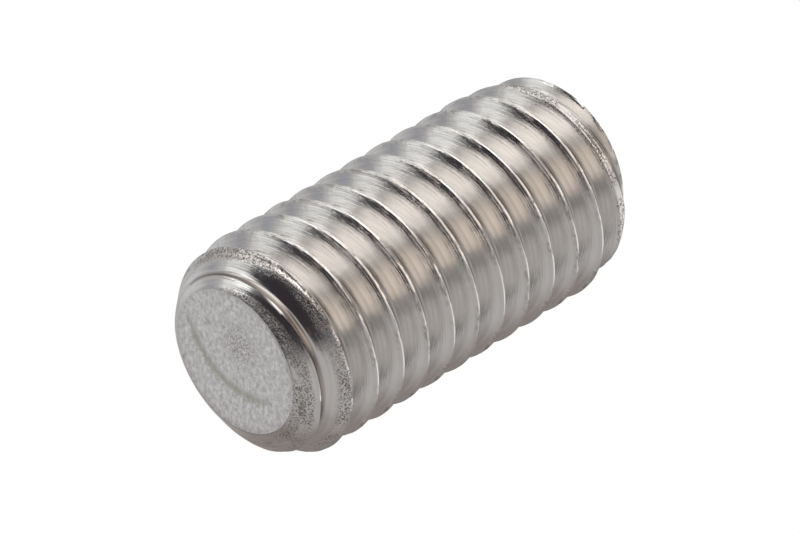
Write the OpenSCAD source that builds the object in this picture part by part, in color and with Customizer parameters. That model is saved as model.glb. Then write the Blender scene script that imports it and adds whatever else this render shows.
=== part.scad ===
// Grub set screw, hexagon socket, flat point, M8 x 1.25 x 16.
// Stands on its socket end: the origin is the centre of that end, +Z runs up the axis to the flat point.
// Millimetres. A single turned, broached and thread-rolled piece.

/* [Body] */
// Overall length, from the rim of the socket end to the flat point
body_length = 16; // [13:0.5:20]
// Major diameter of the thread as made, over the crests
major_d = 7.9; // [7.4:0.1:8.4]

/* [Thread] */
// Axial distance from one crest to the next
thread_pitch = 1.25; // [1:0.05:1.5]
// Width of the flat left on top of each crest
crest_flat = 0.17; // [0.1:0.01:0.25]
// Radius rolled into the bottom of the groove
root_r = 0.18; // [0.1:0.01:0.2]
// Angle about the axis where a crest meets the plane of the socket end, in degrees
thread_start = -11; // [-180:1:180]

/* [Flat point] */
// Diameter of the flat face that bears on the shaft
point_d = 5.3; // [4.6:0.1:6]
// Angle of the cone right behind the flat face, measured from the axis, in degrees
point_angle = 56; // [50:1:65]
// How far below the crests that cone meets the slimmer one under the first turn of thread
shoulder_drop = 0.6; // [0.4:0.05:0.9]
// Angle of the slimmer cone, measured from the axis, in degrees
lead_angle = 38; // [30:1:45]

/* [Socket end] */
// How far below the crests the rim round the socket lies
rim_drop = 0.75; // [0.5:0.05:0.9]
// Angle of the chamfer outside the rim, measured from the axis, in degrees
rim_angle = 45; // [30:1:60]

/* [Socket] */
// Across flats of the hexagon socket
socket_af = 4; // [3.2:0.1:4.4]
// Depth of the hexagon, from the rim to where its flats end
socket_depth = 5; // [3:0.5:7]
// How far the countersink at the mouth reaches past the hexagon's corners
mouth_over = 0.15; // [0.05:0.05:0.3]
// Full angle of the countersink at the mouth, in degrees
mouth_angle = 120; // [90:5:130]
// Full angle of the cone that the drill leaves at the bottom, in degrees
drill_angle = 118; // [90:1:130]

/* [Hidden] */
$fn = 96;

major_r = major_d / 2;
point_r = point_d / 2;
shoulder_r = major_r - shoulder_drop;
rim_r = major_r - rim_drop;

// axial length of each end cone, from its small radius to its large one
point_cone_h = (shoulder_r - point_r) / tan(point_angle);
lead_cone_h = (major_r - shoulder_r) / tan(lead_angle);
rim_cone_h = (major_r - rim_r) / tan(rim_angle);

// metric thread form: 60 degrees between the flanks
flank_angle = 30;
// half of the groove's width where it opens onto the crests
groove_half_w = (thread_pitch - crest_flat) / 2;
// depth at which a root of this radius just touches both flanks
thread_depth = groove_half_w / tan(flank_angle) - root_r / sin(flank_angle) + root_r;
root_centre_r = major_r - thread_depth + root_r;
// the cutter stands proud of the crests, but its turns stay clear of each other
cutter_proud = 0.4 * crest_flat / tan(flank_angle);
cutter_half_w = groove_half_w + cutter_proud * tan(flank_angle);
// flats per turn of the cutter, and points round its root
turn_steps = 30;
root_steps = 3;
// the groove runs out past both ends
start_turn = -1;
end_turn = ceil(body_length / thread_pitch) + 1;
total_steps = (end_turn - start_turn) * turn_steps;

// the hexagon's corners, and the countersink over them
corner_r = socket_af / (2 * cos(30));
mouth_r = corner_r + mouth_over;
mouth_h = mouth_r / tan(mouth_angle / 2);
drill_r = socket_af / 2;
drill_cone_h = drill_r / tan(drill_angle / 2);
// overlap that lets a cut break through a face
over = 0.5;

steel = [0.74, 0.73, 0.72];

// one section of the groove cutter as [radius, height] pairs, from the lower edge to the upper one
groove_section = concat(
    [[major_r + cutter_proud, -cutter_half_w]],
    [for (i = [0:root_steps])
        let (a = -60 + 120 * i / root_steps)
        [root_centre_r - root_r * cos(a), root_r * sin(a)]],
    [[major_r + cutter_proud, cutter_half_w]]
);

// right-hand helical groove cutter: the section carried round the axis, half a pitch above the crest line
module groove_cutter() {
    m = len(groove_section);
    points = [
        for (i = [0:total_steps])
            let (
                turn = start_turn + i / turn_steps,
                a = turn * 360 + thread_start,
                z = (turn + 0.5) * thread_pitch
            )
            for (p = groove_section)
                [p[0] * cos(a), p[0] * sin(a), z + p[1]]
    ];
    sides = [
        for (i = [0:total_steps - 1])
            for (j = [0:m - 1])
                let (
                    a = i * m + j,
                    b = i * m + (j + 1) % m,
                    c = (i + 1) * m + (j + 1) % m,
                    d = (i + 1) * m + j
                )
                each [[a, c, b], [a, d, c]]
    ];
    first_cap = [[for (j = [0:m - 1]) j]];
    last_cap = [[for (j = [m - 1:-1:0]) total_steps * m + j]];
    polyhedron(points = points, faces = concat(sides, first_cap, last_cap), convexity = 20);
}

// turned blank: one cone at the socket end, two at the point
module blank() {
    rotate_extrude()
        polygon([
            [0, 0],
            [rim_r, 0],
            [major_r, rim_cone_h],
            [major_r, body_length - point_cone_h - lead_cone_h],
            [shoulder_r, body_length - point_cone_h],
            [point_r, body_length],
            [0, body_length]
        ]);
}

// broached hexagon with its countersunk mouth and drilled bottom
module socket() {
    translate([0, 0, -over])
        cylinder(h = socket_depth + over, r = corner_r, $fn = 6);
    translate([0, 0, socket_depth])
        cylinder(h = drill_cone_h, r1 = drill_r, r2 = 0);
    translate([0, 0, -over])
        cylinder(
            h = mouth_h + over,
            r1 = mouth_r + over * tan(mouth_angle / 2),
            r2 = 0
        );
}

module set_screw() {
    color(steel)
        difference() {
            blank();
            groove_cutter();
            socket();
        }
}

set_screw();
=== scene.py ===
import math
import bpy
from mathutils import Matrix, Vector


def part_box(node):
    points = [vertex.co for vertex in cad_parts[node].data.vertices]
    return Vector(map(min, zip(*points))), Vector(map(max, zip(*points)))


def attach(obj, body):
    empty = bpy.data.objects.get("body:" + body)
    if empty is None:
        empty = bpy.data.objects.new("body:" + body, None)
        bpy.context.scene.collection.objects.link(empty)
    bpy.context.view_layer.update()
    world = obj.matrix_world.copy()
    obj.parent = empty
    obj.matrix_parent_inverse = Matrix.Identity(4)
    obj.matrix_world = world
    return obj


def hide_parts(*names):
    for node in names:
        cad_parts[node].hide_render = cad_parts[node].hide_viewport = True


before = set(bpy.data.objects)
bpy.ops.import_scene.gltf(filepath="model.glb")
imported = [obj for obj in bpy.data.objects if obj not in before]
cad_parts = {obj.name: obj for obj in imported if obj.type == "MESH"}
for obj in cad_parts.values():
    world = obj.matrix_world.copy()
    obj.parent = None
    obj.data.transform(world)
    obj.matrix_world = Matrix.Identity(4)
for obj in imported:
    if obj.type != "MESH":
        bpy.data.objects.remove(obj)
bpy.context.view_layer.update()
low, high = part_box("set_screw")
lengthMm = (high.z - low.z) * 1000
majorRadiusMm = (high.x - low.x) * 500


def toLinear(hexColour):
    # sRGB hex to the linear colour that a shader socket takes, by the standard curve
    channels = [int(hexColour[i:i + 2], 16) / 255 for i in (1, 3, 5)]
    return [c / 12.92 if c <= 0.04045 else ((c + 0.055) / 1.055) ** 2.4 for c in channels] + [1.0]


def addNode(tree, kind, settings=None, links=None):
    # settings are the node's own options or plain socket values, links are sockets or numbers by input name
    node = tree.nodes.new(kind)
    for key, value in (settings or {}).items():
        if isinstance(key, str) and hasattr(node, key):
            setattr(node, key, value)
        else:
            node.inputs[key].default_value = value
    for key, source in (links or {}).items():
        if isinstance(source, (int, float)):
            node.inputs[key].default_value = source
        else:
            tree.links.new(source, node.inputs[key])
    return node


def addSteps(tree, known, steps):
    # each step is a name, a math operation and its operands, which are earlier names or plain numbers
    for name, operation, *operands in steps:
        sources = {i: known[o] if isinstance(o, str) else o for i, o in enumerate(operands)}
        known[name] = addNode(tree, "ShaderNodeMath", {"operation": operation}, sources).outputs[0]
    return known


# millimetres; a turn is a share of the full circle, a slope is how far a cone widens for each millimetre
screwBody = {
    "Length": lengthMm,
    "Major Radius": majorRadiusMm,
    "Pitch": 1.25,
    "Crest Flat": 0.08,
    "Root Radius": 0.2,
    "Start Turn": 15 / 360,
    "Point Radius": 2.64,
    "Point Offset": 0.135,
    "Point Slope": math.tan(math.radians(56)),
    "Shoulder Radius": 3.38,
    "Shoulder Offset": -0.05,
    "Lead Slope": math.tan(math.radians(38)),
    "Rim Radius": 3.03,
    "Rim Offset": 0.45,
    "Rim Turn": -39 / 360,
    "Rim Slope": 1.0,
    "Land Radius": 3.78,
    "Land Height": 1.2,
    "Land Slope": 0.35,
    "Socket Flats": 4.0,
    "Socket Depth": 5.0,
    "Mouth Radius": 2.46,
    "Corner Round": 0.06,
    "Fray Depth": 0.03,
    "Lip Tear": 0.07,
    "Steps Round": 216,
    "Steps Per Pitch": 30,
}

# how the rolled crests and the torn lip round the point are worn, in millimetres
crestWear = {
    "patchScale": 0.9,  # worn patches for each millimetre
    "chipScale": 6.5,  # chips for each millimetre
    "patchFrom": 0.42,  # noise level where a worn patch starts
    "patchGain": 6.0,  # how quickly it comes in past that level
    "leastFray": 0.12,  # what is left of the fray between the patches
    "crestReach": 0.1,
    "seamReach": 0.035,
    "seamShare": 0.5,
    "clearOfEnds": 0.5,
    "clearGain": 3.0,
    "lipHeight": 1.7,
    "lipGain": 2.5,
    "faceGain": 8.0,
}

flankAngle = math.radians(30)
flankSlope = 1 / math.tan(flankAngle)
crownRound = 0.02
endRound = 0.04
shoulderRound = 0.06
landRound = 0.05
faceRun = 8.0  # how far the sheet runs in over an end face for each millimetre of rise past it
poleGap = 0.15  # points nearer the axis than this go onto it
rowGather = 0.4  # how strongly the rows gather at the crests
snapShare = 0.52  # a row within this share of the gap between rows goes onto an end corner
sharpEdge = math.radians(45)

hexHalfAngle = math.radians(30)
drillHalfAngle = math.radians(59)
mouthHalfAngle = math.radians(60)
socketOver = 1.0  # how far the hexagon's cutter stands out past the rim
drillLap = 0.05  # how far the drilled cone starts above the hexagon's bottom


def buildScrewTree(values, wear):
    tree = bpy.data.node_groups.new("setScrewTree", "GeometryNodeTree")
    for name, value in values.items():
        kind = "NodeSocketInt" if isinstance(value, int) else "NodeSocketFloat"
        tree.interface.new_socket(name, in_out="INPUT", socket_type=kind)
    tree.interface.new_socket("Steel", in_out="INPUT", socket_type="NodeSocketMaterial")
    tree.interface.new_socket("Geometry", in_out="OUTPUT", socket_type="NodeSocketGeometry")
    sizes = addNode(tree, "NodeGroupInput")
    known = {name: sizes.outputs[name] for name in values}

    # a sheet of rows that climb with the thread, running in over both end faces
    addSteps(tree, known, [
        ("underSpan", "DIVIDE", "Major Radius", faceRun),
        ("lowTurn", "ADD", "underSpan", "Pitch"),
        ("lowest", "MULTIPLY", "lowTurn", -1.0),
        ("highest", "ADD", "Length", "underSpan"),
        ("span", "SUBTRACT", "highest", "lowest"),
        ("turns", "DIVIDE", "span", "Pitch"),
        ("rowShare", "MULTIPLY", "turns", "Steps Per Pitch"),
        ("rowCount", "CEIL", "rowShare"),
        ("rowVertices", "ADD", "rowCount", 1.0),
        ("columnVertices", "ADD", "Steps Round", 1.0),
        ("rowStep", "DIVIDE", "Pitch", "Steps Per Pitch"),
        ("spanUsed", "MULTIPLY", "rowStep", "rowCount"),
    ])
    sheet = addNode(tree, "GeometryNodeMeshGrid", {}, {
        "Size X": 1.0,
        "Size Y": 1.0,
        "Vertices X": known["columnVertices"],
        "Vertices Y": known["rowVertices"],
    })
    place = addNode(tree, "GeometryNodeInputPosition")
    flat = addNode(tree, "ShaderNodeSeparateXYZ", {}, {0: place.outputs[0]})
    known["across"], known["along"] = flat.outputs[0], flat.outputs[1]
    addSteps(tree, known, [
        ("turn", "ADD", "across", 0.5),
        ("angle", "MULTIPLY", "turn", 2 * math.pi),
        ("cosine", "COSINE", "angle"),
        ("sine", "SINE", "angle"),
        ("share", "ADD", "along", 0.5),
        ("evenRise", "MULTIPLY_ADD", "share", "spanUsed", "lowest"),
        # rows gather at the crests, where the shape turns quickest
        ("rowTurns", "DIVIDE", "evenRise", "Pitch"),
        ("rowPhase", "SUBTRACT", "rowTurns", "Start Turn"),
        ("rowAngle", "MULTIPLY", "rowPhase", 2 * math.pi),
        ("rowSine", "SINE", "rowAngle"),
        ("gather", "MULTIPLY", "Pitch", -rowGather / (2 * math.pi)),
        ("gathered", "MULTIPLY_ADD", "rowSine", "gather", "evenRise"),
        ("freeRise", "MULTIPLY_ADD", "turn", "Pitch", "gathered"),
        # the row nearest each end goes exactly onto its corner
        ("rowCosine", "COSINE", "rowAngle"),
        ("rowSpread", "MULTIPLY_ADD", "rowCosine", -rowGather, 1.0),
        ("rowGap", "MULTIPLY", "rowSpread", "rowStep"),
        ("snap", "MULTIPLY", "rowGap", snapShare),
        ("toTop", "SUBTRACT", "Length", "freeRise"),
        ("topGap", "ABSOLUTE", "toTop"),
        ("atTop", "LESS_THAN", "topGap", "snap"),
        ("topped", "MULTIPLY_ADD", "toTop", "atTop", "freeRise"),
        ("rimGap", "ABSOLUTE", "topped"),
        ("offRim", "GREATER_THAN", "rimGap", "snap"),
        ("rise", "MULTIPLY", "topped", "offRim"),
        ("aboveRim", "MAXIMUM", "rise", 0.0),
        ("z", "MINIMUM", "aboveRim", "Length"),
        ("under", "SUBTRACT", "z", "rise"),
        ("beyond", "ABSOLUTE", "under"),
        # thread form: flat crest, straight flanks, round root
        ("zTurns", "DIVIDE", "z", "Pitch"),
        ("lead", "ADD", "turn", "Start Turn"),
        ("phase", "SUBTRACT", "zTurns", "lead"),
        ("crestTurns", "PINGPONG", "phase", 0.5),
        ("fromCrest", "MULTIPLY", "crestTurns", "Pitch"),
        ("halfPitch", "MULTIPLY", "Pitch", 0.5),
        ("fromRoot", "SUBTRACT", "halfPitch", "fromCrest"),
        ("halfCrest", "MULTIPLY", "Crest Flat", 0.5),
        ("down", "SUBTRACT", "fromCrest", "halfCrest"),
        ("flank", "MULTIPLY_ADD", "down", -flankSlope, "Major Radius"),
        ("crown", "SMOOTH_MIN", "flank", "Major Radius", crownRound),
        ("halfGroove", "SUBTRACT", "halfPitch", "halfCrest"),
        ("sharpDepth", "MULTIPLY", "halfGroove", flankSlope),
        ("filledDepth", "SUBTRACT", "sharpDepth", "Root Radius"),
        ("rootLevel", "SUBTRACT", "Major Radius", "filledDepth"),
        ("rootMiddle", "ADD", "rootLevel", "Root Radius"),
        ("rootSquare", "MULTIPLY", "Root Radius", "Root Radius"),
        ("offSquare", "MULTIPLY", "fromRoot", "fromRoot"),
        ("rest", "SUBTRACT", "rootSquare", "offSquare"),
        ("restUp", "MAXIMUM", "rest", 0.0),
        ("bow", "SQRT", "restUp"),
        ("rootArc", "SUBTRACT", "rootMiddle", "bow"),
        ("touch", "MULTIPLY", "Root Radius", math.cos(flankAngle)),
        ("inRoot", "LESS_THAN", "fromRoot", "touch"),
        ("toArc", "SUBTRACT", "rootArc", "crown"),
        ("thread", "MULTIPLY_ADD", "toArc", "inRoot", "crown"),
        # end cones, each a little off centre
        ("pointNow", "MULTIPLY_ADD", "cosine", "Point Offset", "Point Radius"),
        ("shoulderNow", "MULTIPLY_ADD", "cosine", "Shoulder Offset", "Shoulder Radius"),
        ("rimTurned", "SUBTRACT", "turn", "Rim Turn"),
        ("rimAngle", "MULTIPLY", "rimTurned", 2 * math.pi),
        ("rimCosine", "COSINE", "rimAngle"),
        ("rimNow", "MULTIPLY_ADD", "rimCosine", "Rim Offset", "Rim Radius"),
        ("fromPoint", "SUBTRACT", "Length", "z"),
        ("pointCone", "MULTIPLY_ADD", "fromPoint", "Point Slope", "pointNow"),
        ("pointRise", "SUBTRACT", "Shoulder Radius", "Point Radius"),
        ("shoulderAt", "DIVIDE", "pointRise", "Point Slope"),
        ("fromShoulder", "SUBTRACT", "fromPoint", "shoulderAt"),
        ("leadCone", "MULTIPLY_ADD", "fromShoulder", "Lead Slope", "shoulderNow"),
        ("rimCone", "MULTIPLY_ADD", "z", "Rim Slope", "rimNow"),
        ("pointEnd", "SMOOTH_MIN", "pointCone", "leadCone", shoulderRound),
        # the first crest by the rim never filled, so it stays low and broad
        ("aboveLand", "SUBTRACT", "z", "Land Height"),
        ("landRise", "MAXIMUM", "aboveLand", 0.0),
        ("land", "MULTIPLY_ADD", "landRise", "Land Slope", "Land Radius"),
        ("rimEnd", "SMOOTH_MIN", "rimCone", "land", landRound),
        ("ends", "MINIMUM", "pointEnd", "rimEnd"),
        ("clean", "SMOOTH_MIN", "thread", "ends", endRound),
        # how far the cone at the point lies under the thread, for the torn metal beside the lip
        ("lipGap", "SUBTRACT", "thread", "pointEnd"),
        # both end corners are broken by a small round
        ("topLeft", "SUBTRACT", "Corner Round", "fromPoint"),
        ("topIn", "MAXIMUM", "topLeft", 0.0),
        ("topCut", "MULTIPLY", "topIn", "topIn"),
        ("rimLeft", "SUBTRACT", "Corner Round", "z"),
        ("rimIn", "MAXIMUM", "rimLeft", 0.0),
        ("cornerSum", "MULTIPLY_ADD", "rimIn", "rimIn", "topCut"),
        ("cornerTwice", "MULTIPLY", "Corner Round", 2.0),
        ("cornerCut", "DIVIDE", "cornerSum", "cornerTwice"),
        ("broken", "SUBTRACT", "clean", "cornerCut"),
        ("xClean", "MULTIPLY", "broken", "cosine"),
        ("yClean", "MULTIPLY", "broken", "sine"),
    ])
    cleanPoint = addNode(tree, "ShaderNodeCombineXYZ", {}, {
        0: known["xClean"],
        1: known["yClean"],
        2: known["z"],
    })
    for name, scale, detail in (("patches", wear["patchScale"], 1.0), ("chips", wear["chipScale"], 3.0)):
        noise = addNode(tree, "ShaderNodeTexNoise", {"Scale": scale, "Detail": detail}, {
            "Vector": cleanPoint.outputs[0],
        })
        known[name] = noise.outputs[0]
    addSteps(tree, known, [
        # frayed crests: the rolled lips never quite closed, so they carry a fine broken seam
        ("crestReach", "DIVIDE", "fromCrest", wear["crestReach"]),
        ("crestFade", "SUBTRACT", 1.0, "crestReach"),
        ("onCrest", "MAXIMUM", "crestFade", 0.0),
        ("patchy", "SUBTRACT", "patches", wear["patchFrom"]),
        ("patchyMore", "MULTIPLY", "patchy", wear["patchGain"]),
        ("frayed", "MINIMUM", "patchyMore", 1.0),
        ("someFray", "MAXIMUM", "frayed", wear["leastFray"]),
        # no fray on the corners themselves
        ("nearEnd", "MINIMUM", "z", "fromPoint"),
        ("insideEnds", "SUBTRACT", "nearEnd", wear["clearOfEnds"]),
        ("endFade", "MULTIPLY", "insideEnds", wear["clearGain"]),
        ("endFadeIn", "MAXIMUM", "endFade", 0.0),
        ("endShare", "MINIMUM", "endFadeIn", 1.0),
        ("frayShare", "MULTIPLY", "someFray", "endShare"),
        ("seamReach", "DIVIDE", "fromCrest", wear["seamReach"]),
        ("seamFade", "SUBTRACT", 1.0, "seamReach"),
        ("onSeam", "MAXIMUM", "seamFade", 0.0),
        ("seamChip", "MULTIPLY", "onSeam", wear["seamShare"]),
        ("chipped", "MULTIPLY", "chips", "onCrest"),
        ("worn", "ADD", "chipped", "seamChip"),
        ("wornPatch", "MULTIPLY", "worn", "frayShare"),
        ("fray", "MULTIPLY", "wornPatch", "Fray Depth"),
        # the turned lip round the point is torn and pitted
        ("lipAbove", "SUBTRACT", wear["lipHeight"], "fromPoint"),
        ("lipShare", "MULTIPLY", "lipAbove", wear["lipGain"]),
        ("lipLow", "MAXIMUM", "lipShare", 0.0),
        ("lipIn", "MINIMUM", "lipLow", 1.0),
        ("offFace", "MULTIPLY", "fromPoint", wear["faceGain"]),
        ("offFaceIn", "MINIMUM", "offFace", 1.0),
        ("lipOffFace", "MULTIPLY", "lipIn", "offFaceIn"),
        ("lipMask", "MULTIPLY", "lipOffFace", "onCrest"),
        ("lipPits", "MULTIPLY", "lipMask", "chips"),
        ("tear", "MULTIPLY", "lipPits", "Lip Tear"),
        ("afterFray", "SUBTRACT", "broken", "fray"),
        ("skin", "SUBTRACT", "afterFray", "tear"),
        ("inwards", "MULTIPLY_ADD", "beyond", -faceRun, "skin"),
        ("offPole", "GREATER_THAN", "inwards", poleGap),
        ("radius", "MULTIPLY", "inwards", "offPole"),
        ("x", "MULTIPLY", "radius", "cosine"),
        ("y", "MULTIPLY", "radius", "sine"),
    ])
    point = addNode(tree, "ShaderNodeCombineXYZ", {}, {0: known["x"], 1: known["y"], 2: known["z"]})
    shaped = addNode(tree, "GeometryNodeSetPosition", {}, {
        "Geometry": sheet.outputs["Mesh"],
        "Position": point.outputs[0],
    })
    # known fault: the points have moved by now, so the gap stored here is worked out from their new
    # places and comes out wrong
    marked = addNode(tree, "GeometryNodeStoreNamedAttribute", {"Name": "lipGap"}, {
        "Geometry": shaped.outputs[0],
        "Value": known["lipGap"],
    })
    closed = addNode(tree, "GeometryNodeMergeByDistance", {"Distance": 0.001}, {
        "Geometry": marked.outputs[0],
    })
    split = addNode(tree, "GeometryNodeTriangulate", {}, {"Mesh": closed.outputs[0]})

    # hexagon socket with its countersunk mouth and drilled bottom
    # the mouth's cutter is twice as tall and wide as the mouth, with half of it below the rim
    addSteps(tree, known, [
        ("socketCorner", "DIVIDE", "Socket Flats", 2 * math.cos(hexHalfAngle)),
        ("hexLength", "ADD", "Socket Depth", socketOver),
        ("hexMiddle", "SUBTRACT", "Socket Depth", "hexLength"),
        ("hexCentre", "MULTIPLY_ADD", "hexLength", 0.5, "hexMiddle"),
        ("drillRadius", "MULTIPLY", "Socket Flats", 0.5),
        ("drillCone", "DIVIDE", "drillRadius", math.tan(drillHalfAngle)),
        ("drillFoot", "SUBTRACT", "Socket Depth", drillLap),
        ("mouthCone", "DIVIDE", "Mouth Radius", math.tan(mouthHalfAngle)),
        ("mouthTop", "MULTIPLY", "mouthCone", 2.0),
        ("mouthFoot", "MULTIPLY", "mouthCone", -1.0),
        ("mouthWide", "MULTIPLY", "Mouth Radius", 2.0),
    ])
    hexagon = addNode(tree, "GeometryNodeMeshCylinder", {}, {
        "Vertices": 6,
        "Radius": known["socketCorner"],
        "Depth": known["hexLength"],
    })
    drill = addNode(tree, "GeometryNodeMeshCone", {}, {
        "Vertices": 64,
        "Radius Top": 0.0,
        "Radius Bottom": known["drillRadius"],
        "Depth": known["drillCone"],
    })
    mouth = addNode(tree, "GeometryNodeMeshCone", {}, {
        "Vertices": 96,
        "Radius Top": 0.0,
        "Radius Bottom": known["mouthWide"],
        "Depth": known["mouthTop"],
    })
    cutters = []
    for shape, height in ((hexagon, "hexCentre"), (drill, "drillFoot"), (mouth, "mouthFoot")):
        shift = addNode(tree, "ShaderNodeCombineXYZ", {}, {2: known[height]})
        moved = addNode(tree, "GeometryNodeTransform", {}, {
            "Geometry": shape.outputs["Mesh"],
            "Translation": shift.outputs[0],
        })
        cutters.append(moved.outputs[0])
    cut = addNode(tree, "GeometryNodeMeshBoolean", {"operation": "DIFFERENCE", "solver": "MANIFOLD"}, {
        "Mesh 1": split.outputs[0],
    })
    for cutter in cutters:
        tree.links.new(cutter, cut.inputs["Mesh 2"])
    metres = addNode(tree, "GeometryNodeTransform", {"Scale": (0.001, 0.001, 0.001)}, {
        "Geometry": cut.outputs["Mesh"],
    })
    whole = addNode(tree, "GeometryNodeRealizeInstances", {}, {"Geometry": metres.outputs[0]})
    finished = addNode(tree, "GeometryNodeSetMaterial", {}, {
        "Geometry": whole.outputs[0],
        "Material": sizes.outputs["Steel"],
    })
    addNode(tree, "NodeGroupOutput", {}, {"Geometry": finished.outputs[0]})
    return tree


# stainless steel, thread rolled and turned; lengths and heights in millimetres
steelFinish = {
    "bright": "#cfcecd",
    "dull": "#bfbdbb",
    "faceLight": "#dddbdc",
    "faceDark": "#a7a5a6",
    # dark brown of the grime on the lips and face, also used for the painted shade in the thread roots
    "grimeAndShade": "#54483f",
    "stain": "#8b9078",
    "flankRoughness": 0.13,
    "faceRoughness": 0.44,
    "lineContrast": 3.0,
    "faceContrast": 4.5,
    "faceLevel": -1.65,
    "mottleShare": 0.6,
    "lineRoughness": 0.16,
    "cloudRoughness": 0.06,
    "tornRoughness": 0.09,
    "lineHeight": 0.012,
    "waveHeight": 0.018,
    "flakeHeight": 0.02,
    "grainHeight": 0.0016,
    "pitHeight": 0.006,
    "flankGrain": 0.05,  # share of the grain that the burnished flanks keep
    "lineStretch": 0.12,  # change along the helix for each millimetre, against 1 across it
    "flakeStretch": 1.1,
    "markStretch": 0.3,
    "markDirection": (0.63, -0.77),
    "stainCentre": (0.88, -1.44, 0.0),
    "stainRadius": 2.68,
    "stainTowards": (-0.31, 0.95, 0.0),
    "stainWander": 0.7,
    "stainShare": 0.7,
    "stainContrast": 2.0,
    "stainLevel": -0.2,
    "smudgeCentre": (0.5, -0.7, 0.0),
    "flakeShare": 0.6,
    "speckShare": 0.8,
    # how strongly the painted shade darkens the thread roots
    "rootShadeShare": 0.75,
    "smudgeShare": 0.65,
    "cornerShare": 0.4,
}


def makeSteel(values, sizes):
    # A2 stainless bar, thread rolled: bright burnished flanks with fine lines along the helix, a matt
    # turned face with a faint water stain, torn, pitted lips that hold a little grime, and painted shade in
    # the thread roots
    steel = bpy.data.materials.new("stainlessSteelRolled")
    steel.use_nodes = True
    tree = steel.node_tree
    shader = tree.nodes["Principled BSDF"]
    shader.inputs["Metallic"].default_value = 1.0
    where = addNode(tree, "ShaderNodeTexCoord")
    mm = addNode(tree, "ShaderNodeVectorMath", {"operation": "SCALE", "Scale": 1000.0}, {
        0: where.outputs["Object"],
    })
    axes = addNode(tree, "ShaderNodeSeparateXYZ", {}, {0: mm.outputs[0]})
    gap = addNode(tree, "ShaderNodeAttribute", {"attribute_name": "lipGap"})
    known = {"x": axes.outputs[0], "y": axes.outputs[1], "z": axes.outputs[2], "lipGap": gap.outputs["Fac"]}
    pitch = sizes["Pitch"]
    markX, markY = values["markDirection"]
    addSteps(tree, known, [
        ("angle", "ARCTAN2", "y", "x"),
        ("turns", "DIVIDE", "angle", 2 * math.pi),
        ("zTurns", "DIVIDE", "z", pitch),
        ("lead", "ADD", "turns", sizes["Start Turn"]),
        ("phase", "SUBTRACT", "zTurns", "lead"),
        ("phaseAngle", "MULTIPLY", "phase", 2 * math.pi),
        ("phaseX", "COSINE", "phaseAngle"),
        ("phaseY", "SINE", "phaseAngle"),
        ("crestTurns", "PINGPONG", "phase", 0.5),
        ("fromCrest", "MULTIPLY", "crestTurns", pitch),
        ("fromRoot", "SUBTRACT", pitch / 2, "fromCrest"),
        ("xSquare", "MULTIPLY", "x", "x"),
        ("axisSquare", "MULTIPLY_ADD", "y", "y", "xSquare"),
        ("fromAxis", "SQRT", "axisSquare"),
        ("roundX", "MULTIPLY", "x", values["lineStretch"]),
        ("roundY", "MULTIPLY", "y", values["lineStretch"]),
        ("shortX", "MULTIPLY", "x", values["flakeStretch"]),
        ("shortY", "MULTIPLY", "y", values["flakeStretch"]),
        ("fromTop", "SUBTRACT", sizes["Length"], "z"),
        # across and along the marks that the facing tool left
        ("acrossX", "MULTIPLY", "x", -markY),
        ("across", "MULTIPLY_ADD", "y", markX, "acrossX"),
        ("alongX", "MULTIPLY", "x", markX),
        ("along", "MULTIPLY_ADD", "y", markY, "alongX"),
        ("alongShort", "MULTIPLY", "along", values["markStretch"]),
    ])
    # a ring round one pitch, so that each line runs on along the helix without a seam
    helix = addNode(tree, "ShaderNodeCombineXYZ", {}, {
        0: known["phaseX"],
        1: known["phaseY"],
        2: known["roundX"],
    })
    flakes = addNode(tree, "ShaderNodeCombineXYZ", {}, {
        0: known["phaseX"],
        1: known["phaseY"],
        2: known["shortX"],
    })
    facing = addNode(tree, "ShaderNodeCombineXYZ", {}, {0: known["across"], 1: known["alongShort"]})
    # each pattern: fourth place, how fine for each millimetre or radius of the ring, detail, its roughness
    patterns = (
        # real rolling lines are under 0.05 mm apart, these are about 0.1 mm apart so that they show
        ("lines", "roundY", 3.5, 4.0, 0.62, helix),
        ("flakes", "shortY", 2.2, 3.0, 0.6, flakes),
        ("grain", None, 12.0, 3.0, 0.65, mm),
        ("clouds", None, 0.9, 3.0, 0.5, mm),
        ("pits", None, 16.0, 2.0, 0.6, mm),
        ("marks", None, 8.0, 4.0, 0.7, facing),
        ("mottle", None, 5.5, 5.0, 0.75, mm),
    )
    for name, fourth, scale, detail, rough, source in patterns:
        pattern = addNode(tree, "ShaderNodeTexNoise", {
            "noise_dimensions": "4D" if fourth else "3D",
            "Scale": scale,
            "Detail": detail,
            "Roughness": rough,
        }, {"Vector": source.outputs[0]})
        if fourth:
            tree.links.new(known[fourth], pattern.inputs["W"])
        known[name] = pattern.outputs[0]
    flatPoint = addNode(tree, "ShaderNodeVectorMath", {"operation": "MULTIPLY", 1: (1.0, 1.0, 0.0)}, {
        0: mm.outputs[0],
    })
    for name, centre in (("fromStainCentre", "stainCentre"), ("fromSmudge", "smudgeCentre")):
        distance = addNode(tree, "ShaderNodeVectorMath", {"operation": "DISTANCE", 1: values[centre]}, {
            0: flatPoint.outputs[0],
        })
        known[name] = distance.outputs["Value"]
    stainSide = addNode(tree, "ShaderNodeVectorMath", {"operation": "SUBTRACT", 1: values["stainCentre"]}, {
        0: flatPoint.outputs[0],
    })
    stainAlong = addNode(tree, "ShaderNodeVectorMath", {
        "operation": "DOT_PRODUCT",
        1: values["stainTowards"],
    }, {0: stainSide.outputs[0]})
    known["stainAlong"] = stainAlong.outputs["Value"]
    addSteps(tree, known, [
        ("offStain", "SUBTRACT", "fromStainCentre", values["stainRadius"]),
        ("stainWander", "MULTIPLY_ADD", "mottle", values["stainWander"], "offStain"),
        ("stainShift", "SUBTRACT", "stainWander", values["stainWander"] / 2),
        ("stainGap", "ABSOLUTE", "stainShift"),
    ])
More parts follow.
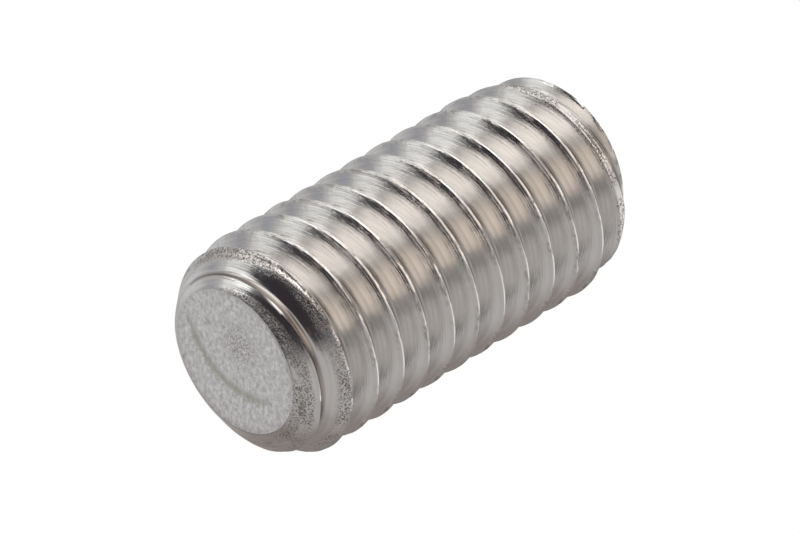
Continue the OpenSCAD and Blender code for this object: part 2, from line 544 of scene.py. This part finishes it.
    # each mask: what it reads, where it is nothing and where it is full
    masks = (
        ("onFace", "fromTop", 0.02, 0.003),
        ("byCorner", "fromTop", 0.09, 0.02),
        ("nearLip", "fromTop", 1.75, 1.3),
        ("nearRim", "z", 1.5, 1.25),
        ("onLand", "fromAxis", 3.66, 3.74),
        ("besideCrest", "fromCrest", 0.34, 0.16),
        ("underThread", "lipGap", 0.0, -0.04),
        ("onCrest", "fromCrest", 0.13, 0.05),
        ("frayPatch", "clouds", 0.44, 0.6),
        ("inRoot", "fromRoot", 0.17, 0.03),
        ("flaked", "flakes", 0.48, 0.58),
        ("speckPatch", "clouds", 0.3, 0.5),
        ("pastLip", "lipGap", 0.07, 0.14),
        ("beforeCone", "lipGap", 0.55, 0.38),
        ("pitted", "pits", 0.5, 0.6),
        ("stained", "stainGap", 0.27, 0.02),
        ("stainEnd", "stainAlong", 1.4, 2.3),
        ("smudged", "fromSmudge", 1.2, 0.2),
    )
    for name, source, nothing, full in masks:
        mask = addNode(tree, "ShaderNodeMapRange", {
            "interpolation_type": "SMOOTHSTEP",
            "From Min": nothing,
            "From Max": full,
        }, {"Value": known[source]})
        known[name] = mask.outputs[0]
    leastRoughness = values["flankRoughness"] - values["lineRoughness"] / 2
    addSteps(tree, known, [
        ("offFace", "SUBTRACT", 1.0, "onFace"),
        ("lipBand", "MULTIPLY", "pastLip", "beforeCone"),
        ("crestSide", "MULTIPLY", "nearLip", "besideCrest"),
        ("crestBand", "MULTIPLY", "crestSide", "underThread"),
        ("rimLand", "MULTIPLY", "nearRim", "onLand"),
        ("someTorn", "MAXIMUM", "crestBand", "rimLand"),
        ("lipTorn", "MAXIMUM", "lipBand", "someTorn"),
        ("frayed", "MULTIPLY", "onCrest", "frayPatch"),
        ("tornAll", "MAXIMUM", "frayed", "lipTorn"),
        ("torn", "MULTIPLY", "tornAll", "offFace"),
        ("lipSpecks", "MULTIPLY", "lipTorn", "pitted"),
        ("someSpecks", "MULTIPLY", "lipSpecks", "speckPatch"),
        ("flakeDark", "MULTIPLY", "flaked", values["flakeShare"]),
        ("flakeGaps", "MULTIPLY", "frayed", "flakeDark"),
        ("allSpecks", "MAXIMUM", "someSpecks", "flakeGaps"),
        ("specks", "MULTIPLY", "allSpecks", "offFace"),
        # painted shade: the thread roots, away from the face and under the full thread, take the dark grime
        # colour
        ("rootOff", "MULTIPLY", "inRoot", "offFace"),
        ("rootUnder", "MULTIPLY", "rootOff", "underThread"),
        ("rootShade", "MULTIPLY", "rootUnder", values["rootShadeShare"]),
        ("smudge", "MULTIPLY", "smudged", "onFace"),
        ("smudgeSpecks", "MULTIPLY", "smudge", "pitted"),
        ("faceGrime", "MULTIPLY", "smudgeSpecks", values["smudgeShare"]),
        ("cornerGrime", "MULTIPLY", "byCorner", "offFace"),
        ("cornerSome", "MULTIPLY", "cornerGrime", "grain"),
        ("cornerFaint", "MULTIPLY", "cornerSome", values["cornerShare"]),
        ("speckGrime", "MULTIPLY", "specks", values["speckShare"]),
        ("someGrime", "MAXIMUM", "speckGrime", "faceGrime"),
        ("grimeAndRootShade", "MAXIMUM", "someGrime", "rootShade"),
        ("grimeAndShadeShare", "MAXIMUM", "grimeAndRootShade", "cornerFaint"),
        ("stainThin", "MULTIPLY", "stained", "stainEnd"),
        ("stainBreaks", "MULTIPLY_ADD", "mottle", values["stainContrast"], values["stainLevel"]),
        ("stainLine", "MULTIPLY", "stainThin", "stainBreaks"),
        ("stainOnFace", "MULTIPLY", "stainLine", "onFace"),
        ("stainShare", "MULTIPLY", "stainOnFace", values["stainShare"]),
        # roughness: burnished flanks, matt face, dull torn metal
        ("roughLines", "MULTIPLY_ADD", "lines", values["lineRoughness"], leastRoughness),
        ("roughClouds", "MULTIPLY_ADD", "clouds", values["cloudRoughness"], "roughLines"),
        ("roughTorn", "MULTIPLY_ADD", "torn", values["tornRoughness"], "roughClouds"),
        ("toFace", "SUBTRACT", values["faceRoughness"], "roughTorn"),
        ("roughness", "MULTIPLY_ADD", "toFace", "onFace", "roughTorn"),
        # relief
        ("lineRelief", "MULTIPLY", "lines", values["lineHeight"]),
        ("waveRelief", "MULTIPLY_ADD", "clouds", values["waveHeight"], "lineRelief"),
        ("flakeRelief", "MULTIPLY", "flakes", "frayed"),
        ("lineFlakes", "MULTIPLY_ADD", "flakeRelief", values["flakeHeight"], "waveRelief"),
        ("plainFlank", "MULTIPLY", "lineFlakes", "offFace"),
        ("grainShare", "MAXIMUM", "torn", "onFace"),
        ("grainMore", "MULTIPLY_ADD", "grainShare", 1 - values["flankGrain"], values["flankGrain"]),
        ("grainRelief", "MULTIPLY", "grain", "grainMore"),
        ("grainTall", "MULTIPLY_ADD", "grainRelief", values["grainHeight"], "plainFlank"),
        ("pitRelief", "MULTIPLY", "specks", -values["pitHeight"]),
        ("relief", "ADD", "grainTall", "pitRelief"),
        # tone of the flanks: fine lines over soft clouds
        ("lineTone", "MULTIPLY_ADD", "lines", values["lineContrast"], -values["lineContrast"] / 2),
        ("tone", "ADD", "lineTone", "clouds"),
        # tone of the face: tool marks over a fine mottle
        ("mottlePart", "MULTIPLY", "mottle", values["mottleShare"]),
        ("faceTone", "MULTIPLY_ADD", "marks", 1 - values["mottleShare"], "mottlePart"),
        ("faceSpread", "MULTIPLY_ADD", "faceTone", values["faceContrast"], values["faceLevel"]),
    ])
    faceMask = addNode(tree, "ShaderNodeClamp", {}, {0: known["faceSpread"]})
    known["faceShare"] = faceMask.outputs[0]
    colour = addNode(tree, "ShaderNodeMix", {
        "data_type": "RGBA",
        6: toLinear(values["bright"]),
        7: toLinear(values["dull"]),
    }, {0: known["tone"]})
    faceColour = addNode(tree, "ShaderNodeMix", {
        "data_type": "RGBA",
        6: toLinear(values["faceDark"]),
        7: toLinear(values["faceLight"]),
    }, {0: known["faceShare"]})
    colour = addNode(tree, "ShaderNodeMix", {"data_type": "RGBA"}, {
        0: known["onFace"],
        6: colour.outputs[2],
        7: faceColour.outputs[2],
    })
    # each coat goes over the one before: a share, then its colour
    # the last coat is the grime on the lips and face together with the painted shade in the thread roots
    for share, coat in (("stainShare", "stain"), ("grimeAndShadeShare", "grimeAndShade")):
        colour = addNode(tree, "ShaderNodeMix", {"data_type": "RGBA", 7: toLinear(values[coat])}, {
            0: known[share],
            6: colour.outputs[2],
        })
    bump = addNode(tree, "ShaderNodeBump", {"Strength": 1.0, "Distance": 0.001}, {"Height": known["relief"]})
    tree.links.new(colour.outputs[2], shader.inputs["Base Color"])
    tree.links.new(known["roughness"], shader.inputs["Roughness"])
    tree.links.new(bump.outputs[0], shader.inputs["Normal"])
    return steel


def buildScrew(values, wear, steel):
    screw = bpy.data.objects.new("setScrew", bpy.data.meshes.new("setScrew"))
    bpy.context.scene.collection.objects.link(screw)
    modifier = screw.modifiers.new("setScrewTree", "NODES")
    modifier.node_group = buildScrewTree(values, wear)
    for item in modifier.node_group.interface.items_tree:
        if item.in_out == "INPUT":
            modifier[item.identifier] = {**values, "Steel": steel}[item.name]
    evaluated = screw.evaluated_get(bpy.context.evaluated_depsgraph_get())
    mesh = bpy.data.meshes.new_from_object(evaluated)
    screw.modifiers.clear()
    screw.data = mesh
    mesh.shade_smooth()
    mesh.set_sharp_from_angle(angle=sharpEdge)
    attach(screw, "root")
    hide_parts("set_screw")
    return screw


steel = makeSteel(steelFinish, screwBody)
print("steel:", len(steel.node_tree.nodes), "nodes")
screw = buildScrew(screwBody, crestWear, steel)
print("screw:", len(screw.data.vertices), "points")

# place in millimetres, directions as unit vectors
cameraView = {
    "place": (0.02, -182.98, 148.03),
    "ahead": (0.0, 0.7942, -0.6077),
    "right": (-0.5165, -0.5204, -0.6800),
    "lens": 305.5,
    "sensor": 36,
    "clipStart": 0.01,
}


def placeCamera(values):
    data = bpy.data.cameras.new("camera")
    data.lens = values["lens"]
    data.sensor_width = values["sensor"]
    data.clip_start = values["clipStart"]
    camera = bpy.data.objects.new("camera", data)
    bpy.context.scene.collection.objects.link(camera)
    back = -Vector(values["ahead"]).normalized()
    right = Vector(values["right"]).normalized()
    up = back.cross(right).normalized()
    turn = Matrix((right, up, back)).transposed().to_4x4()
    camera.matrix_world = Matrix.Translation(Vector(values["place"]) * 0.001) @ turn
    bpy.context.scene.camera = camera


placeCamera(cameraView)
print("camera placed")

# each card is a round patch of the surroundings: direction, radius and soft edge in degrees, then its light
studio = {
    "surround": (0.64, 0.625, 0.615),
    "cards": [
        {"turn": 65, "height": -40, "radius": 32, "soft": 14, "light": (1.25, 1.22, 1.18)},
        {"turn": 65, "height": 77, "radius": 32, "soft": 5, "light": (0.045, 0.038, 0.045)},
        {"turn": 44, "height": 2, "radius": 29, "soft": 14, "light": (2.6, 2.45, 2.3)},
        {"turn": -8, "height": -36, "radius": 18, "soft": 10, "light": (1.3, 1.25, 1.2)},
        {"turn": -9, "height": -14, "radius": 21, "soft": 5, "light": (1.78, 1.55, 1.36)},
        {"turn": 7, "height": 14, "radius": 20, "soft": 7, "light": (0.36, 0.29, 0.25)},
        {"turn": -45, "height": -5, "radius": 7, "soft": 6, "light": (0.38, 0.33, 0.3)},
        {"turn": 92, "height": 5, "radius": 11, "soft": 6, "light": (2.5, 2.45, 2.38)},
        {"turn": -145, "height": -8, "radius": 38, "soft": 15, "light": (0.37, 0.33, 0.315)},
        {"turn": -15, "height": -78, "radius": 26, "soft": 6, "light": (0.04, 0.04, 0.04)},
        {"turn": 107, "height": 42, "radius": 12, "soft": 4, "light": (1.35, 1.35, 1.32)},
        {"turn": -74, "height": -14, "radius": 23, "soft": 9, "light": (0.95, 0.9, 0.86)},
        {"turn": 89, "height": 42, "radius": 9, "soft": 3, "light": (2.3, 2.3, 2.28)},
        {"turn": -78, "height": -40, "radius": 23, "soft": 8, "light": (1.3, 1.26, 1.23)},
        {"turn": 132, "height": 33, "radius": 5, "soft": 2, "light": (0.4, 0.43, 0.5)},
        {"turn": 150, "height": 12, "radius": 14, "soft": 8, "light": (0.85, 0.86, 0.88)},
        {"turn": 180, "height": 40, "radius": 18, "soft": 6, "light": (0.92, 0.91, 0.91)},
    ],
}


def buildStudio(values):
    world = bpy.data.worlds.new("studio")
    bpy.context.scene.world = world
    world.use_nodes = True
    tree = world.node_tree
    lookUp = addNode(tree, "ShaderNodeTexCoord")
    light = None
    for card in values["cards"]:
        turn, height = math.radians(card["turn"]), math.radians(card["height"])
        towards = (math.cos(height) * math.sin(turn), -math.cos(height) * math.cos(turn), math.sin(height))
        facing = addNode(tree, "ShaderNodeVectorMath", {"operation": "DOT_PRODUCT", 1: towards}, {
            0: lookUp.outputs["Generated"],
        })
        angle = addNode(tree, "ShaderNodeMath", {"operation": "ARCCOSINE"}, {0: facing.outputs["Value"]})
        edge = addNode(tree, "ShaderNodeMapRange", {"interpolation_type": "SMOOTHSTEP"}, {
            "Value": angle.outputs[0],
            "From Min": math.radians(card["radius"] + card["soft"]),
            "From Max": math.radians(card["radius"] - card["soft"]),
        })
        shown = addNode(tree, "ShaderNodeMix", {
            "data_type": "RGBA",
            6: (*values["surround"], 1),
            7: (*card["light"], 1),
        }, {0: edge.outputs[0]})
        if light:
            tree.links.new(light, shown.inputs[6])
        light = shown.outputs[2]
    # past the floor's edge the camera sees plain white
    path = addNode(tree, "ShaderNodeLightPath")
    seen = addNode(tree, "ShaderNodeMix", {"data_type": "RGBA", 7: (1, 1, 1, 1)}, {
        0: path.outputs["Is Camera Ray"],
        6: light,
    })
    tree.links.new(seen.outputs[2], tree.nodes["Background"].inputs[0])


floorPaper = {"half": 5.0, "drop": 0.0001}  # metres


def layFloor(values):
    # a plain white floor that fills every view and throws nothing back at the steel
    half = values["half"]
    corners = [(-half, -half, 0), (half, -half, 0), (half, half, 0), (-half, half, 0)]
    mesh = bpy.data.meshes.new("floor")
    mesh.from_pydata(corners, [], [(0, 1, 2, 3)])
    floor = bpy.data.objects.new("floor", mesh)
    floor.location.z = -values["drop"]
    bpy.context.scene.collection.objects.link(floor)
    white = bpy.data.materials.new("paperWhite")
    white.use_nodes = True
    tree = white.node_tree
    tree.nodes.clear()
    glow = addNode(tree, "ShaderNodeEmission", {"Color": (1, 1, 1, 1), "Strength": 1.0})
    addNode(tree, "ShaderNodeOutputMaterial", {}, {"Surface": glow.outputs[0]})
    mesh.materials.append(white)
    floor.visible_glossy = False
    floor.visible_diffuse = False
    floor.visible_shadow = False


buildStudio(studio)
print("studio:", len(studio["cards"]), "cards")
layFloor(floorPaper)
print("floor laid")
bpy.context.scene.view_settings.view_transform = "Standard"
